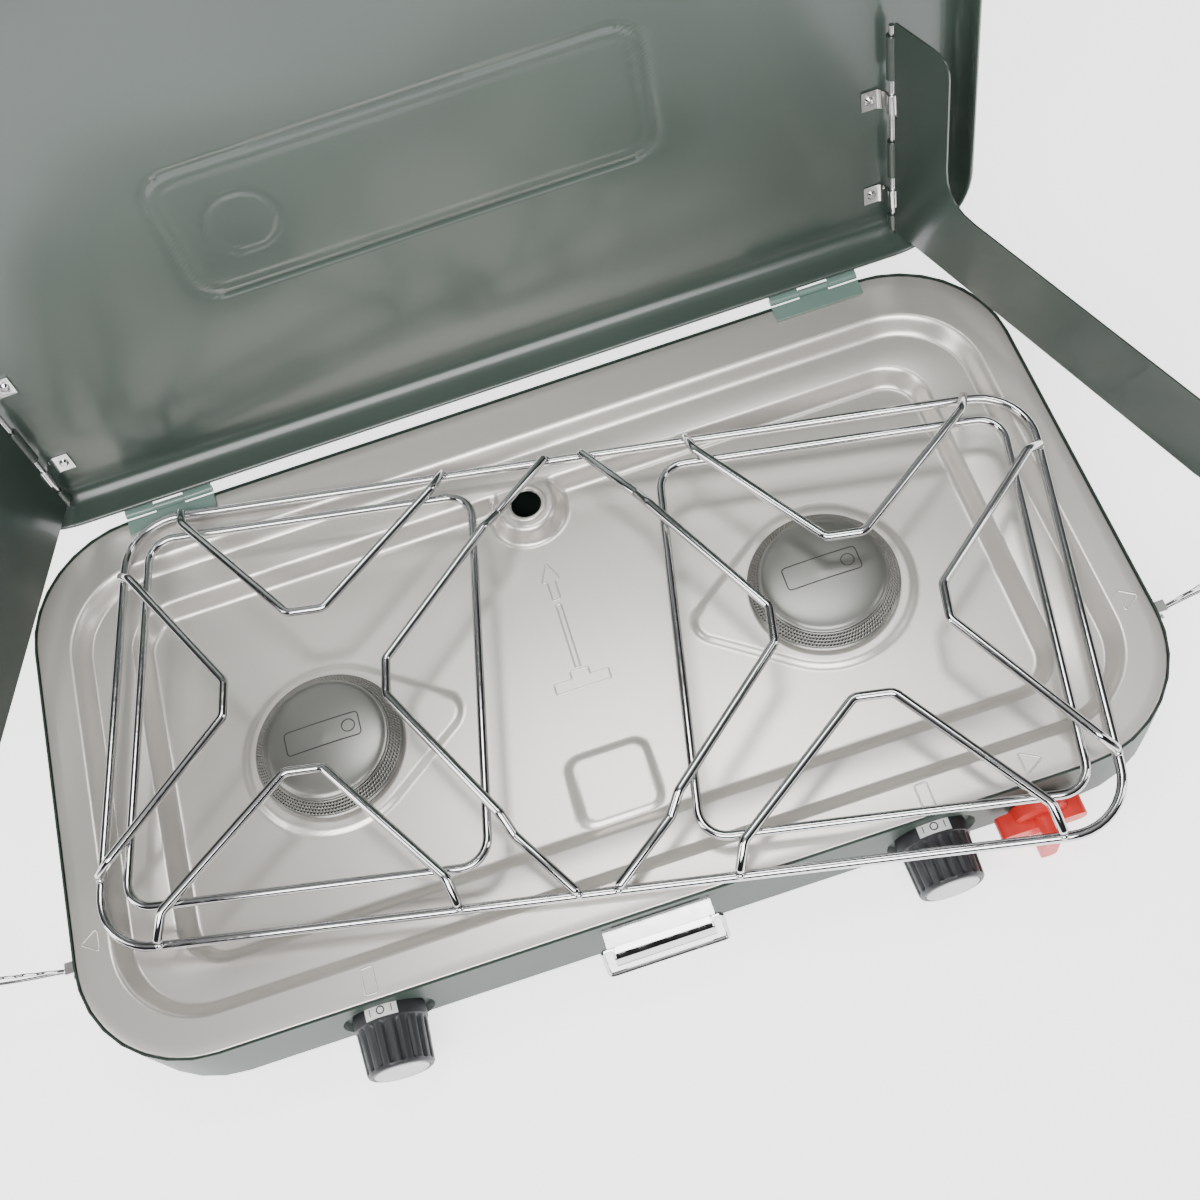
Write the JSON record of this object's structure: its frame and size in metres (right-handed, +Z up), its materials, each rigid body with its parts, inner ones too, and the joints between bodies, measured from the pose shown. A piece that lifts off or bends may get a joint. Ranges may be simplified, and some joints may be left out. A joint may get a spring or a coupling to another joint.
{
  "type": "camp stove",
  "caption": "Folding two-burner camp stove with an open lid, side wind guards, a loose wire grate, front control knobs and a rotary igniter.",
  "frame": {"origin": "centre of the case's flat bottom, between the feet", "axes": "+X to the right along the case's length, +Y to the back where the lid is hinged, +Z up"},
  "size_m": [0.7868, 0.3893, 0.373],
  "materials": {
    "green_paint": "satin green enamel",
    "light_green_paint": "satin light green enamel",
    "deck_steel": "satin aluminised steel",
    "pressed_steel": "satin",
    "chromed_steel": "bright plated wire and sheet",
    "zinc_steel": "zinc plated",
    "brass": "turned",
    "black_plastic": "moulded charcoal",
    "grey_plastic": "satin",
    "red_plastic": "moulded",
    "ceramic": "glazed white ceramic",
    "rubber": "matt"
  },
  "bodies": {
    "base": {"case_shell": "green_paint", "cooktop_tray": "deck_steel", "foot_front_left": "rubber", "foot_front_right": "rubber", "foot_rear_left": "rubber", "foot_rear_right": "rubber", "burner_bowl_left": "pressed_steel", "burner_ring_left": "pressed_steel", "burner_cap_left": "pressed_steel", "venturi_tube_left": "zinc_steel", "stay_bracket_left": "zinc_steel", "valve_body_left": "brass", "electrode_left": "ceramic", "hinge_case_leaf_left": "light_green_paint", "hinge_pin_left": "zinc_steel", "burner_bowl_right": "pressed_steel", "burner_ring_right": "pressed_steel", "burner_cap_right": "pressed_steel", "venturi_tube_right": "zinc_steel", "stay_bracket_right": "zinc_steel", "valve_body_right": "brass", "electrode_right": "ceramic", "hinge_case_leaf_right": "light_green_paint", "hinge_pin_right": "zinc_steel", "gas_manifold": "brass", "igniter_body": "black_plastic", "latch_bracket": "zinc_steel"},
    "lid": {"hinge_lid_leaf_left": "light_green_paint", "guard_clip_lower_left": "chromed_steel", "guard_clip_upper_left": "chromed_steel", "guard_rod_left": "chromed_steel", "hinge_lid_leaf_right": "light_green_paint", "guard_clip_lower_right": "chromed_steel", "guard_clip_upper_right": "chromed_steel", "guard_rod_right": "chromed_steel", "lid_shell": "green_paint"},
    "guard_left": {"wind_guard_left": "green_paint"},
    "knob_left": {"control_knob_left": "black_plastic", "knob_disc_left": "grey_plastic", "valve_stem_left": "brass"},
    "stay_left": {"side_stay_left": "chromed_steel"},
    "grate": {"grate_loop_left": "chromed_steel", "grate_arm_front_left": "chromed_steel", "grate_arm_rear_left": "chromed_steel", "grate_arm_inner_left": "chromed_steel", "grate_arm_outer_left": "chromed_steel", "grate_loop_right": "chromed_steel", "grate_arm_front_right": "chromed_steel", "grate_arm_rear_right": "chromed_steel", "grate_arm_inner_right": "chromed_steel", "grate_arm_outer_right": "chromed_steel", "grate_outer_frame": "chromed_steel"},
    "guard_right": {"wind_guard_right": "green_paint"},
    "knob_right": {"control_knob_right": "black_plastic", "knob_disc_right": "grey_plastic", "valve_stem_right": "brass"},
    "stay_right": {"side_stay_right": "chromed_steel"},
    "igniter": {"igniter_knob": "red_plastic"},
    "latch_lever": {"latch_lever": "chromed_steel"},
    "latch_bail": {"latch_bail": "chromed_steel"}
  },
  "joints": [
    {"name": "lid_hinge", "type": "hinge", "parent": "base", "child": "lid", "pos_m": [0, 0.156, 0.052], "axis": [1, 0, 0], "range_deg": [0, 12]},
    {"name": "guard_left_fold", "type": "hinge", "parent": "lid", "child": "guard_left", "pos_m": [-0.2435, 0.16646, 0.05108], "axis": [0, 0.0872, 0.9962], "range_deg": [0, 105]},
    {"name": "guard_right_fold", "type": "hinge", "parent": "lid", "child": "guard_right", "pos_m": [0.2435, 0.16646, 0.05108], "axis": [0, -0.0872, -0.9962], "range_deg": [0, 105]},
    {"name": "knob_left_turn", "type": "hinge", "parent": "base", "child": "knob_left", "pos_m": [-0.139, -0.154, 0.021], "axis": [0, -1, 0], "range_deg": [0, 270]},
    {"name": "knob_right_turn", "type": "hinge", "parent": "base", "child": "knob_right", "pos_m": [0.139, -0.154, 0.021], "axis": [0, -1, 0], "range_deg": [0, 270]},
    {"name": "igniter_turn", "type": "hinge", "parent": "base", "child": "igniter", "pos_m": [0.1915, -0.154, 0.021], "axis": [0, 1, 0], "range_deg": [0, 60], "stiffness_Nm_per_rad": 0.06, "springref_deg": -17.19},
    {"name": "latch_lever_hinge", "type": "hinge", "parent": "base", "child": "latch_lever", "pos_m": [0, -0.1579, 0.0395], "axis": [-1, 0, 0], "range_deg": [0, 38]},
    {"name": "latch_bail_hinge", "type": "hinge", "parent": "latch_lever", "child": "latch_bail", "pos_m": [0, -0.1623, 0.038], "axis": [-1, 0, 0], "range_deg": [0, 110]},
    {"name": "stay_left_swing", "type": "hinge", "parent": "base", "child": "stay_left", "pos_m": [-0.2846, -0.087, 0.038], "axis": [0, 0, 1], "range_deg": [0, 100]},
    {"name": "stay_right_swing", "type": "hinge", "parent": "base", "child": "stay_right", "pos_m": [0.2846, -0.087, 0.038], "axis": [0, 0, -1], "range_deg": [0, 100]},
    {"name": "grate_lift", "type": "slide", "parent": "base", "child": "grate", "axis": [0, 0, 1], "range_m": [0, 0.05]}
  ]
}
